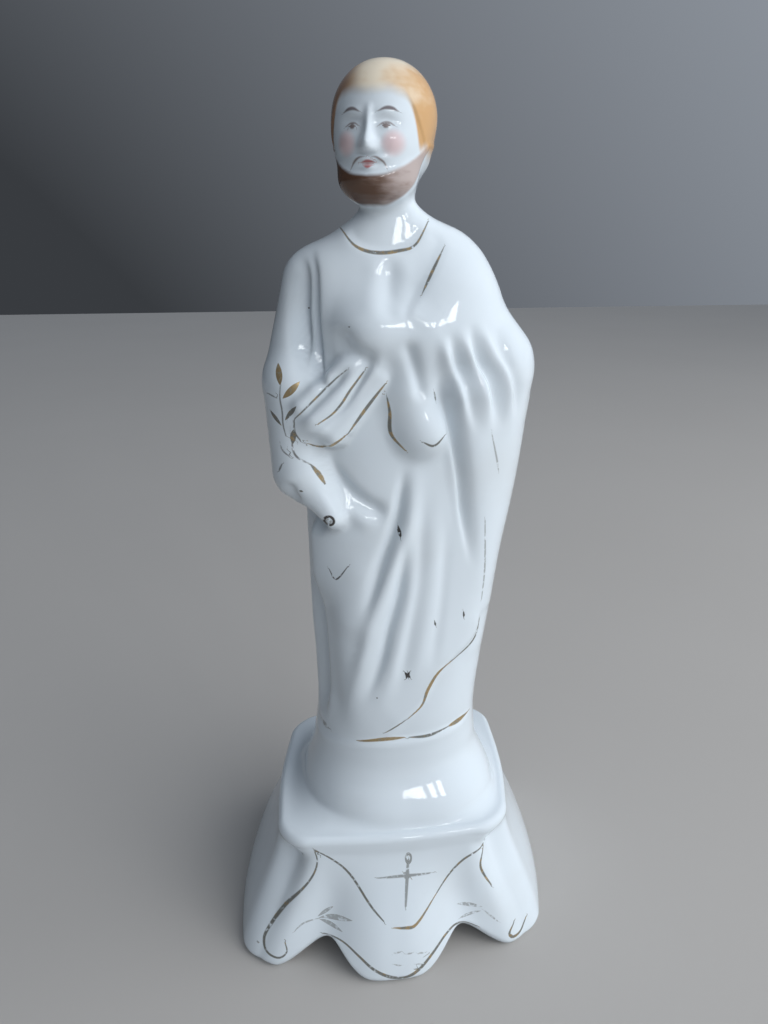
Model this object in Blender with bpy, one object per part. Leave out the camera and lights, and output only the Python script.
"""Bearded saint in a cloak, slip-cast in one piece with its scalloped plinth, in white glazed porcelain.

A blank is turned first, as a stack of level rings from the crown down to the hem and up inside the plinth.
Every ring is then pushed out to the surface of a clay form: a robe of swelling sections with the arms, the
hanging cloak and the head blended onto it, and folds drawn over its front.
+Z is up, the front faces -Y, +X is the viewer's right, and the origin is on the ground, under the middle.
"""
import math

import bmesh
import bpy
import numpy as np

# Driving sizes, in metres
FIGURE_HEIGHT = 0.207      # top of the shelf to the crown of the head
SHELF_HEIGHT = 0.043       # ground to the top of the shelf
RIM_WIDTH = 0.0710         # shelf, across the corners of its sides
RIM_FRONT = 0.0295         # shelf, from the axis to its front edge
RIM_BACK = 0.0315          # shelf, from the axis to its back edge
RIM_BOW = 0.0018           # how far the middle of each shelf edge stands out
RIM_ROUND = 0.0023         # radius of the shelf's rounded edge
RIM_CORNER = 0.0100        # radius of the shelf's corners, seen from above
NECK_INSET = 0.0003        # how far the skirt starts in from the shelf's edge, at the middle of a side
NECK_CORNER = 0.0050       # and how much further at a corner
SHELF_THICK = 0.0060       # top of the shelf to where the skirt starts to flare
HEM_WIDTH = 0.0925         # foot to foot, across the front
HEM_FRONT = 0.0375         # from the axis to the front of the feet
HEM_BACK = 0.0420          # from the axis to the plain back
HEM_CORNER = 0.0120        # radius of the feet, seen from above
SIDE_BULGE = 0.0050        # how far the middle of a side stands out past its corners
FRONT_VALLEY = 0.0016      # soft valleys beside the tongue
FRONT_LOBE = 0.0085        # how far the tongue at the front stands out past the feet
ARCH_HEIGHT = 0.0090       # openings between the tongue and the feet
WALL = 0.0036              # thickness of the skirt
HEM_ROUND = 0.0022         # radius of the skirt's outer bottom edge
ROOF_DEPTH = 0.0060        # porcelain left between the shelf and the hollow underneath
ROOF_DISH = 0.0010         # how much higher the hollow's roof is in the middle
PLINTH_SHIFT = 0.0013      # the hand-made plinth isn't quite square under the figure
PLINTH_SKEW = 0.09         # sideways drift for each unit of depth

# The figure is carved in parts, 207 of them from the shelf to the crown
PARTS = 207
PART = FIGURE_HEIGHT / PARTS
FOOT = 3.0                 # height where the mound under the robe turns out onto the shelf
SHIFT = 0.8                # the robe's sideways place

# Rings of the blank, and the steps round each ring
COLUMNS = 60
RINGS = {"figure": 61, "shelf": 2, "rim": 4, "skirt": 7, "hem": 3, "inner": 3, "roof": 2}
FINEST_FOLD = 1.6          # in parts; a narrower fold is drawn this wide and shallower, to suit the rings
FLARE = 0.30               # share of the skirt's flare that is a straight slope, and the rest a sweep
FOOT_SWEEP = 2.2           # how quickly the mound's foot levels out on the shelf
NECK_JOIN = 2.5            # softness of the join between the head and the neck, in parts
EDGE_WIDTH = 0.8           # half width of the step at a cloth edge, in parts

# Robe sections: height, then reach to the left, right, front and back
ROBE = (
    (0, 29.2, 31.0, 28.4, 26), (4, 28.6, 30.4, 27.4, 24), (8, 27.4, 29.4, 25.2, 22),
    (12, 26.0, 28.2, 22.7, 20), (16, 25.0, 27.2, 21.4, 18.8), (21, 24.2, 26.6, 21.0, 17.6),
    (26, 23.6, 26.2, 20.7, 17), (46, 23.4, 27.6, 19.5, 16.5), (59, 24.0, 29.4, 19, 16.5),
    (83, 24.4, 32.2, 18, 16.5), (98, 24.6, 34.8, 17.0, 17), (109, 24.6, 36.2, 16.5, 17.5),
    (119, 24.2, 37.0, 16, 18), (132, 24, 37.2, 15.5, 18.5), (142, 24, 31.5, 14.5, 18), (150, 25, 26, 14, 17),
    (156, 25.2, 24.6, 13, 15.5), (161, 24, 23.2, 11.5, 14), (165, 20.5, 21, 10, 12.5),
    (169, 14.5, 16.5, 8.7, 11), (172, 10.3, 9.9, 7.8, 9.5), (175, 8.0, 6.0, 7.4, 8.0),
    (179, 7.0, 5.0, 7, 7.5), (190, 5, 4.5, 4, 5),
)
ROBE_TOP = 187
ROBE_SQUARENESS = 2.3      # 2 is an ellipse
AXIS = ((0, 0), (150, 0), (176, -2.0), (PARTS, -2.3))     # height, sideways place of the middle

# Round limbs laid on the robe: start, end, radius at the start and at the end, softness of the join
LIMBS = (
    ((-19.5, 1, 156), (-25.5, -2, 134), 9.0, 8.5, 5),           # upper arm on the left
    ((-25.8, -5, 130), (-25.8, -8, 109), 8.8, 7.6, 4),          # its hanging sleeve
    ((-24.0, -9.0, 107), (-17.6, -14.6, 97.2), 7.2, 3.4, 3),    # its hand, pointing down
    ((20, 0, 150), (28.0, -3, 137), 7.0, 8.3, 4),               # elbow on the right
    ((25, -8.0, 138.5), (8, -11.0, 143), 7.6, 6.6, 8),          # forearm across the body
    ((17.5, -12.0, 130), (21.6, -8.0, 76), 7.4, 4.6, 3),        # cloak hanging from the forearm, inner side
    ((26, -5.5, 133), (17.5, -6.5, 55), 10.5, 7.0, 4),          # and outer side
    ((-8.5, -12.6, 136), (-21.0, -12.0, 124.0), 4.4, 5.6, 4),   # the swag on the left
    ((-11.0, -14.2, 139.0), (-23.8, -13.8, 127.0), 2.6, 3.4, 1.6),      # and its three rolls
    ((-8.0, -15.0, 136.8), (-20.8, -14.8, 123.8), 2.5, 3.9, 1.2),
    ((-5.2, -14.4, 134.4), (-16.8, -13.8, 120.6), 2.4, 4.2, 1.4),
)
# Round masses: middle, radii, softness of the join
MASSES = (
    ((14, -2, 151), (12.4, 12, 15), 5),             # cloaked shoulder on the right
    ((12, -5, 149), (14, 9.5, 10), 7),              # and its slope to the forearm
    ((-5.4, -11.2, 145.4), (10.2, 8.0, 8.0), 6.5),  # hand held under the cloak
    ((3.4, -11.6, 129.0), (6.4, 6.8, 11.0), 5.0),   # the swag on the right
    ((6.2, -13.6, 120.4), (7.4, 6.6, 7.4), 3.5),    # and its pouch
    ((14.0, -7.0, 0.0), (17.5, 18.5, 14.0), 6.0),   # the mound runs out to the corner on the right
)

# The head looks to the left
HEAD_TURN = math.radians(-22)
HEAD_PLACE = (-2.3, -0.5)
HEAD_MASSES = (
    ((-0.3, 1.2, 194.0), (12.4, 13.6, 13.0), 0),     # skull with its cap of hair
    ((0, -3.6, 187.0), (10.4, 9.6, 11.5), 4),     # face and jaw
    ((0, -5.6, 180.6), (9.3, 8.2, 6.6), 2.5),     # beard
    ((0, 4.0, 186.0), (9.2, 9.0, 9.0), 4),        # nape
)
# Soft touches on the face: sideways, height, their half sizes, and how far they stand out
FACE_TOUCHES = (
    (3.9, 192.0, 2.3, 1.5, -0.9), (-3.9, 192.0, 2.3, 1.5, -0.9),     # eye sockets
    (3.9, 191.7, 1.6, 0.9, 0.8), (-3.9, 191.7, 1.6, 0.9, 0.8),       # eyelids
    (4.2, 194.6, 2.6, 1.0, 0.3), (-4.2, 194.6, 2.6, 1.0, 0.3),       # brows
    (5.4, 188.2, 2.8, 2.6, 0.6), (-5.4, 188.2, 2.8, 2.6, 0.6),       # cheeks
    (0.0, 184.5, 2.2, 0.6, 0.4), (0.0, 183.0, 1.7, 0.7, 0.5),        # lips
    (0.0, 183.8, 2.2, 0.4, -0.3),
    (2.6, 185.0, 2.2, 0.8, 0.5), (-2.6, 185.0, 2.2, 0.8, 0.5),       # moustache
    (0.0, 180.0, 3.6, 2.0, 0.7),                                    # chin under the beard
)
NOSE = ((194.5, 0.9, 0.5), (190.5, 1.1, 1.6), (188.0, 1.7, 2.9), (186.6, 1.8, 2.2), (185.6, 1.6, 0.0))

# Hair and beard are low caps: height of their edges for each angle from the middle of the face, in degrees
HAIRLINE = ((0, 198.8), (30, 198.6), (46, 196.8), (58, 191.5), (72, 187.0), (100, 184.5), (140, 181.5), (180, 180.5))
BEARD_TOP = ((0, 181.6), (16, 182.0), (34, 183.4), (60, 186.2), (78, 188.6))
BEARD_FOOT = ((0, 174.4), (25, 175.0), (45, 177.4), (62, 181.4), (80, 187.0))
HAIR_RELIEF = 0.35
BEARD_RELIEF = 0.25

# Folds on the front: how far they stand out, their half width, then points (sideways, height)
FOLDS = (
    (-1.0, 1.8, (-26.2, 164), (-25.1, 151), (-22.0, 136)),           # grooves between the arm and the chest
    (-1.5, 3.8, (-22.5, 168), (-23, 151), (-21.4, 133)),
    (-2.4, 1.3, (-23.1, 166), (-24.5, 153), (-24.9, 143), (-23.3, 131)),
    (-2.4, 1.3, (-20.4, 167), (-21, 150), (-20.3, 139), (-19, 130)),
    (0.3, 2.6, (-4.7, 164), (-5.6, 157), (-7.1, 149)),               # slack folds on the chest
    (-0.6, 2.4, (-1.0, 164), (-1.6, 156), (-3.0, 148)),
    (0.3, 2.6, (3.0, 164), (2.2, 156), (0.4, 148)),
    (-1.2, 1.8, (1.6, 145), (3.6, 140), (5.6, 133.3), (6.4, 128)),     # beside the hidden hand
    (-1.6, 2.4, (-15.2, 148.0), (-12.6, 143.0), (-8.8, 139.8), (-4.0, 138.4)),
    (-2.0, 1.3, (-10.5, 139), (-15.7, 134.3), (-19.8, 130.5), (-23.2, 127.3), (-28, 122.6)),     # between the rolls
    (-2.0, 1.3, (-5.9, 139), (-9.4, 135), (-14, 128.7), (-20, 123.8), (-24, 121.2)),
    (-2.0, 1.6, (9.8, 136), (14.6, 122.6), (17.6, 109.8), (19.4, 97), (22.4, 78)),      # robe to hanging cloak
    (1.2, 1.5, (10.6, 146), (12, 139), (14.6, 132), (17.6, 120)),      # folds hanging from the forearm
    (-1.0, 1.4, (12.8, 147), (16, 137.5), (18.6, 131), (21.4, 118)),
    (1.2, 1.5, (14.8, 148), (18.4, 138), (21.6, 132), (24.6, 118)),
    (-1.1, 1.4, (17.8, 149), (21, 139), (24.8, 132.6), (27.8, 119)),
    (1.1, 1.5, (20, 149), (23.6, 140), (28, 133), (30.4, 120)),
    (-0.7, 1.4, (24.4, 148), (28, 139), (31.4, 131), (32.8, 120)),
    (-1.7, 2.2, (-20.0, 113.5), (-13.6, 105.4), (-7.6, 100.4), (-1.0, 98)),      # hollow under the swag
    (0.7, 2.4, (-22.0, 110), (-15.6, 101.4), (-9.6, 97.0), (-4.0, 95.0)),        # fold sweeping down from the sleeve
    (0.9, 6.0, (-9.0, 88), (-10.5, 72), (-12.0, 58)),                # knee under the cloth
    (-1.5, 1.6, (2.7, 113), (0.3, 97), (-4.3, 83.6), (-9.1, 66)),        # long grooves and ridges of the skirt
    (1.2, 2.3, (5.5, 116), (3.9, 97), (-0.5, 83), (-6.3, 66), (-10.3, 49), (-15, 32)),
    (-1.4, 1.5, (2.9, 95), (0.9, 76), (-2.1, 64), (-4.5, 53), (-9.9, 38)),
    (0.7, 2.4, (6.9, 98), (4.7, 76), (1.7, 62), (-1.1, 50), (-6.1, 34)),
    (-0.5, 1.8, (7.9, 104), (6.3, 80), (3.7, 62), (0.1, 42)),
    (0.4, 2.4, (11.1, 106), (9.9, 80), (7.5, 60), (4.1, 42)),
    (-0.4, 1.8, (14.3, 98), (13.1, 70), (9.9, 47)),
    (-3.0, 4.6, (-21.6, 80), (-20.8, 52), (-18.4, 25)),              # valley beside the knee
    (-2.0, 2.2, (-27.2, 100.0), (-22.6, 95.5), (-17.5, 92.0)),       # under the hand
    (-1.4, 1.4, (-28.6, 108), (-27.6, 104), (-25.6, 101)),           # pinch at the end of the sleeve
)
# Cloth edges: how far the raised side stands out, how far that carries, then points,
# with the raised side on the left of the way along the line
EDGES = (
    (2.0, 5.0, (-22.6, 98), (-22.2, 76), (-21.2, 52), (-20.8, 28)),      # front of the robe over its side
    (0.6, 3.0, (8.9, 171), (4.0, 165.6), (-3.0, 164.2), (-9.3, 166.2), (-11.5, 170)),     # neckline
    (0.5, 5.0, (13.0, 168), (8.9, 159.7), (1.4, 149)),                     # cloak over the chest
    (0.6, 4.0, (-3.2, 29), (7.4, 38), (14.0, 49), (24.0, 58), (24.9, 66)),     # hem of the cloak
    (-0.8, 3.0, (-24.0, 26.0), (-20.7, 23.7), (-9.4, 25.9), (12.3, 27.3), (24.5, 28.7)),    # hem, on the mound
)
BACK_FOLDS = 9             # soft upright folds round the plain back
BACK_FOLD_DEPTH = 0.8


def smooth_through(knots, x):
    """A smooth curve through (place, value) knots, level outside them."""
    place, value = np.array(knots, float).T
    slope = np.gradient(value, place)
    x = np.clip(x, place[0], place[-1])
    i = np.clip(np.searchsorted(place, x) - 1, 0, len(place) - 2)
    span = place[i + 1] - place[i]
    t = (x - place[i]) / span
    level = value[i] * (1 + 2 * t) * (1 - t) ** 2 + value[i + 1] * t * t * (3 - 2 * t)
    return level + span * t * (1 - t) * (slope[i] * (1 - t) - slope[i + 1] * t)


def step(x, low, high):
    """0 below low, 1 above high, and smooth between."""
    t = np.clip((x - low) / (high - low), 0, 1)
    return t * t * (3 - 2 * t)


def join(a, b, soft):
    """Two bodies blended over a width of soft."""
    h = np.clip(0.5 + 0.5 * (b - a) / soft, 0, 1)
    return b + (a - b) * h - soft * h * (1 - h)


def ellipsoid(x, y, z, middle, radii):
    """Distance to an ellipsoid, negative inside."""
    dx, dy, dz = x - middle[0], y - middle[1], z - middle[2]
    near = np.sqrt((dx / radii[0]) ** 2 + (dy / radii[1]) ** 2 + (dz / radii[2]) ** 2) + 1e-6
    steep = np.sqrt((dx / radii[0] ** 2) ** 2 + (dy / radii[1] ** 2) ** 2 + (dz / radii[2] ** 2) ** 2) + 1e-9
    return near * (near - 1) / steep


def limb(x, y, z, start, end, start_radius, end_radius):
    """Distance to a round limb that tapers from start to end."""
    way = [end[i] - start[i] for i in range(3)]
    along = (x - start[0]) * way[0] + (y - start[1]) * way[1] + (z - start[2]) * way[2]
    t = np.clip(along / sum(w * w for w in way), 0, 1)
    gap = np.sqrt((x - start[0] - t * way[0]) ** 2 + (y - start[1] - t * way[1]) ** 2
                  + (z - start[2] - t * way[2]) ** 2)
    return gap - (start_radius + (end_radius - start_radius) * t)


def robe(x, y, z):
    """Distance to the robe's swelling column."""
    left, right, front, back = (smooth_through([(k[0], k[i]) for k in ROBE], z) for i in (1, 2, 3, 4))
    across = np.where(x < 0, left, right)
    deep = np.where(y < 0, front, back)
    out = np.hypot(x, y) + 1e-6
    share = (np.abs(x / across) ** ROBE_SQUARENESS + np.abs(y / deep) ** ROBE_SQUARENESS) ** (1 / ROBE_SQUARENESS)
    return np.maximum(out - out / (share + 1e-6), z - ROBE_TOP)


def face_frame(x, y):
    """Places seen from the face: sideways, and depth behind it."""
    c, s = math.cos(HEAD_TURN), math.sin(HEAD_TURN)
    dx, dy = x - HEAD_PLACE[0], y - HEAD_PLACE[1]
    return c * dx + s * dy, -s * dx + c * dy


def head(x, y, z):
    """Distance to the head, before the touches on its face."""
    side, depth = face_frame(x, y)
    first, *rest = HEAD_MASSES
    shape = ellipsoid(side, depth, z, first[0], first[1])
    for middle, radii, soft in rest:
        shape = join(shape, ellipsoid(side, depth, z, middle, radii), soft)
    return shape


def form(x, y, z):
    """Distance to the clay form, in parts, negative inside."""
    x = x - SHIFT
    shape = robe(x, y, z)
    for middle, radii, soft in MASSES:
        shape = join(shape, ellipsoid(x, y, z, middle, radii), soft)
    for start, end, start_radius, end_radius, soft in LIMBS:
        shape = join(shape, limb(x, y, z, start, end, start_radius, end_radius), soft)
    return join(shape, head(x, y, z), NECK_JOIN)


def reach(angle, z, far=48.0, strides=40, halvings=12):
    """Outermost place of the form along level rays from the axis."""
    cx, cy = np.cos(angle), np.sin(angle)
    axis = smooth_through(AXIS, z)
    stride = far / strides
    outside = np.full(angle.shape, far)
    inside = np.zeros(angle.shape)
    found = np.zeros(angle.shape, bool)
    for k in range(1, strides + 1):
        r = far - stride * k
        hit = (form(axis + r * cx, r * cy, z) < 0) & ~found
        inside = np.where(hit, r, inside)
        outside = np.where(hit, r + stride, outside)
        found |= hit
    for _ in range(halvings):
        middle = (inside + outside) / 2
        hit = form(axis + middle * cx, middle * cy, z) < 0
        inside = np.where(hit, middle, inside)
        outside = np.where(hit, outside, middle)
    return (inside + outside) / 2


def drawn_line(points, pieces=6):
    """Places along a smooth line through a few points."""
    knots = np.array(points, float)
    place = np.linspace(0, len(knots) - 1, pieces * (len(knots) - 1) + 1)
    return np.stack([smooth_through(list(enumerate(knots[:, i])), place) for i in (0, 1)], axis=1)


def to_line(x, z, line):
    """Signed gap to a drawn line, positive on the left of its way, and the share of the way along it."""
    best = np.full(x.shape, np.inf)
    gap = np.zeros(x.shape)
    share = np.zeros(x.shape)
    for k in range(len(line) - 1):
        (x0, z0), (x1, z1) = line[k], line[k + 1]
        wx, wz = x1 - x0, z1 - z0
        t = np.clip(((x - x0) * wx + (z - z0) * wz) / (wx * wx + wz * wz), 0, 1)
        dx, dz = x - x0 - t * wx, z - z0 - t * wz
        far = np.hypot(dx, dz)
        side = np.where(wx * dz - wz * dx >= 0, 1.0, -1.0)
        near = far < best
        best = np.where(near, far, best)
        gap = np.where(near, side * far, gap)
        share = np.where(near, (k + t) / (len(line) - 1), share)
    return gap, share


def ends(share, fade=0.28):
    """Fades a fold out at both ends of its line."""
    return step(share, 0, fade) * step(1 - share, 0, fade)


def folds(x, z, angle):
    """How far the folds of the robe and the cloak stand out."""
    front = step(-np.sin(angle), 0.0, 0.3)
    out = np.zeros(x.shape)
    for height, half, *points in FOLDS:
        gap, share = to_line(x, z, drawn_line(points))
        wide = max(half, FINEST_FOLD)
        out += height * half / wide * np.exp(-(gap / wide) ** 2) * ends(share)
    for height, carry, *points in EDGES:
        gap, share = to_line(x, z, drawn_line(points))
        out += height * np.tanh(gap / EDGE_WIDTH) * np.exp(-np.abs(gap) / carry) * ends(share, 0.12)
    lower = step(z, 30, 50) * step(150 - z, 0, 30)
    behind = step(np.sin(angle), 0.1, 0.6) * lower * BACK_FOLD_DEPTH * np.sin(BACK_FOLDS * angle + z / 40)
    return out * front * step(172 - z, 0, 4) + behind


def face(x, y, z):
    """How far the touches on the face stand out."""
    side, depth = face_frame(x, y)
    front = step(-depth, 2, 7) * step(z, 178, 181)
    out = np.zeros(x.shape)
    for place, height, half_side, half_height, touch in FACE_TOUCHES:
        out += touch * np.exp(-((side - place) / half_side) ** 2 - ((z - height) / half_height) ** 2)
    bridge = list(reversed(NOSE))
    half = smooth_through([(k[0], k[1]) for k in bridge], z)
    proud = smooth_through([(k[0], k[2]) for k in bridge], z) * step(z, 185.2, 186.4) * step(197 - z, 0, 2.5)
    return (out + proud * np.exp(-(side / half) ** 2)) * front


def hair_relief(x, y, z):
    """How far the caps of hair and beard stand out."""
    side, depth = face_frame(x, y)
    turn = np.degrees(np.abs(np.arctan2(side, -depth)))
    over = z - smooth_through(HAIRLINE, turn)
    inside = np.minimum(smooth_through(BEARD_TOP, turn) - z, z - smooth_through(BEARD_FOOT, turn))
    return (HAIR_RELIEF * step(over, -1.2, 1.2) + BEARD_RELIEF * step(inside, -0.8, 1.0)) * step(z, 176, 180)


def figure_radius(angle, z):
    """Reach of the carved figure, in parts."""
    plain = reach(angle, z)
    axis = smooth_through(AXIS, z)
    x, y = axis + plain * np.cos(angle), plain * np.sin(angle)
    return plain + folds(x, z, angle) + face(x - SHIFT, y, z) + hair_relief(x - SHIFT, y, z)


def crowded(count, start, end, crowd, closed):
    """Places from start to end, closer together where crowd is large."""
    fine = np.linspace(start, end, 4001)
    weight = crowd(fine)
    total = np.concatenate([[0], np.cumsum((weight[1:] + weight[:-1]) / 2)])
    steps = np.arange(count) if closed else np.arange(1, count + 1)
    return np.interp(steps * total[-1] / count, total, fine)


def column_angles(count):
    """Angles round the axis, closer together at the front."""
    return crowded(count, 0, 2 * math.pi, lambda a: 1.9 - 0.9 * np.sin(a), True)


def figure_heights(count):
    """Ring heights from the crown down to the foot of the mound, closer together on the head and the swags."""
    z = crowded(count, PARTS, FOOT, lambda h: 1 + 1.5 * step(h, 168, 178) + 0.6 * step(h, 95, 110), False)
    crown = 4.0
    near = z > PARTS - crown
    z[near] = PARTS - crown * ((PARTS - z[near]) / crown) ** 1.8
    return z


def plan(angle, half_x, half_y, corner):
    """Reach of a rectangle with round corners, along each angle."""
    cx, cy = np.abs(np.cos(angle)), np.abs(np.sin(angle))
    flat = np.minimum(half_x / np.maximum(cx, 1e-9), half_y / np.maximum(cy, 1e-9))
    ox, oy = half_x - corner, half_y - corner
    along = ox * cx + oy * cy
    rounded = along + np.sqrt(np.maximum(along ** 2 - (ox ** 2 + oy ** 2 - corner ** 2), 0))
    return np.where((flat * cx > ox) & (flat * cy > oy), rounded, flat)


def side_share(angle, half_x, half_y):
    """0 at the middle of each side, 1 at a corner."""
    cx, cy = np.abs(np.cos(angle)) / half_x, np.abs(np.sin(angle)) / half_y
    return np.minimum(cx, cy) / np.maximum(cx, cy)


def plinth_sides(angle):
    """Rim and hem plans, the share of the way to a corner, and where the front side is."""
    rim_y = np.where(np.sin(angle) < 0, RIM_FRONT, RIM_BACK)
    hem_y = np.where(np.sin(angle) < 0, HEM_FRONT, HEM_BACK)
    share = side_share(angle, HEM_WIDTH / 2, hem_y)
    front = -np.sin(angle) / hem_y > np.abs(np.cos(angle)) / (HEM_WIDTH / 2)
    middle = (1 - share ** 2) ** 2
    rim = plan(angle, RIM_WIDTH / 2, rim_y, RIM_CORNER) + RIM_BOW * middle
    tongue = FRONT_LOBE * (1 - step(share, 0.05, 0.62))
    hem = plan(angle, HEM_WIDTH / 2, hem_y, HEM_CORNER) + np.where(front, tongue, SIDE_BULGE * (1 - share ** 2))
    return rim, hem, share, front


def skirt_reach(angle, z):
    """Reach of the outside of the skirt at height z."""
    rim, hem, share, front = plinth_sides(angle)
    corner = step(share, 0.6, 1.0)
    neck = rim - NECK_INSET - NECK_CORNER * corner
    t = np.clip(1 - z / (SHELF_HEIGHT - SHELF_THICK), 0, 1)
    sweep = FLARE * t + (1 - FLARE) * step(t, -0.05, 1.05)
    valley = np.where(front, FRONT_VALLEY * np.exp(-((share - 0.5) / 0.2) ** 2) * np.sin(math.pi * t) ** 2, 0)
    return neck + (hem - neck) * sweep - valley


def hem_height(angle):
    """Height of the hem over the ground, raised in the arches of the front."""
    rim, hem, share, front = plinth_sides(angle)
    return np.where(front, ARCH_HEIGHT * step(share, 0.13, 0.47) * (1 - step(share, 0.47, 0.84)), 0)


def plinth_rings(angle, counts, foot):
    """Rings of (reach, height) from the foot of the mound over the shelf, down the skirt and up inside."""
    rim, hem, share, front = plinth_sides(angle)
    hem_z = hem_height(angle)
    edge = rim - RIM_ROUND
    tuck = np.radians(95 + 55 * step(share, 0.5, 1.0))
    rings = []
    for k in range(1, counts["shelf"] + 1):
        t = k / counts["shelf"]
        rings.append((foot + (edge - foot) * t, SHELF_HEIGHT + FOOT * PART * (1 - t) ** FOOT_SWEEP))
    for k in range(1, counts["rim"] + 1):
        a = tuck * k / counts["rim"]
        rings.append((edge + RIM_ROUND * np.sin(a), SHELF_HEIGHT - RIM_ROUND * (1 - np.cos(a))))
    start, top = rings[-1]
    bottom = hem_z + HEM_ROUND
    for k in range(1, counts["skirt"] + 1):
        t = k / counts["skirt"]
        z = top + (bottom - top) * t
        rings.append((start + (skirt_reach(angle, z) - start) * step(t, 0, 0.16), z))
    outer = rings[-1][0]
    for k in range(1, counts["hem"] + 1):
        a = math.radians(90) * k / counts["hem"]
        rings.append((outer - HEM_ROUND * (1 - math.cos(a)), hem_z + HEM_ROUND * (1 - math.sin(a))))
    inner = outer - WALL
    rings.append((inner, hem_z))
    roof = SHELF_HEIGHT - ROOF_DEPTH
    for k in range(1, counts["inner"] + 1):
        t = k / counts["inner"]
        z = hem_z + (roof - hem_z) * t
        rings.append((np.minimum(inner, skirt_reach(angle, z) - WALL), z))
    last = rings[-1][0]
    for k in range(1, counts["roof"] + 1):
        t = k / counts["roof"]
        rings.append((last * (1 - t), roof + ROOF_DISH * t))
    return rings


def blank(columns, rings):
    """A turned stack of level rings that closes at both ends."""
    bm = bmesh.new()
    line = [bm.verts.new((0 if k in (0, rings - 1) else 1, 0, -k)) for k in range(rings)]
    edges = [bm.edges.new((line[k], line[k + 1])) for k in range(rings - 1)]
    bmesh.ops.spin(bm, geom=line + edges, axis=(0, 0, 1), cent=(0, 0, 0), steps=columns, angle=2 * math.pi,
                   use_merge=True)
    bmesh.ops.remove_doubles(bm, verts=bm.verts, dist=1e-5)
    return bm


def statue(name, columns, counts):
    """The whole figure and plinth as one closed mesh."""
    angle = column_angles(columns)
    heights = figure_heights(counts["figure"])
    radius = figure_radius(*np.meshgrid(angle, heights))
    plinth = plinth_rings(angle, counts, radius[-1] * PART)
    level = [PARTS * PART + SHELF_HEIGHT]
    ring = [0 * angle]
    axis = [float(smooth_through(AXIS, PARTS)) * PART]
    for k, z in enumerate(heights):
        ring.append(radius[k] * PART)
        level.append(SHELF_HEIGHT + z * PART + 0 * angle)
        axis.append(float(smooth_through(AXIS, z)) * PART)
    bm = blank(columns, 1 + len(heights) + len(plinth))
    for vertex in bm.verts:
        k = int(round(-vertex.co.z))
        j = int(round(math.atan2(vertex.co.y, vertex.co.x) / (2 * math.pi) * columns)) % columns
        if k <= len(heights):
            out, up, middle = ring[k][j], np.broadcast_to(level[k], angle.shape)[j], axis[k]
            x, y = middle + out * math.cos(angle[j]), out * math.sin(angle[j])
        else:
            out, up = plinth[k - 1 - len(heights)]
            out, up = out[j], np.broadcast_to(up, angle.shape)[j]
            onto = step((k - len(heights)) / counts["shelf"], 0, 1) if k - len(heights) < counts["shelf"] else 1
            y = out * math.sin(angle[j])
            x = out * math.cos(angle[j]) + onto * (PLINTH_SHIFT + PLINTH_SKEW * y)
        vertex.co = (x, y, up)
    centre = [(min(v.co[i] for v in bm.verts) + max(v.co[i] for v in bm.verts)) / 2 for i in (0, 1)]
    bmesh.ops.translate(bm, verts=bm.verts, vec=(-centre[0], -centre[1], 0))
    bmesh.ops.recalc_face_normals(bm, faces=bm.faces)
    mesh = bpy.data.meshes.new(name)
    bm.to_mesh(mesh)
    bm.free()
    mesh.shade_smooth()
    piece = bpy.data.objects.new(name, mesh)
    bpy.context.scene.collection.objects.link(piece)
    print(name, len(mesh.polygons), "faces, moved by", [round(-c * 1000, 2) for c in centre], "mm")
    return piece


def porcelain():
    """White glazed porcelain with a cold, bluish cast."""
    material = bpy.data.materials.new("glazed_porcelain")
    material.use_nodes = True
    shader = material.node_tree.nodes["Principled BSDF"]
    shader.inputs["Base Color"].default_value = (0.76, 0.81, 0.84, 1)
    shader.inputs["Roughness"].default_value = 0.12
    shader.inputs["Metallic"].default_value = 0.0
    return material


def main():
    for thing in list(bpy.data.objects):
        bpy.data.objects.remove(thing, do_unlink=True)
    piece = statue("saint_statue", COLUMNS, RINGS)
    piece.data.materials.append(porcelain())


main()
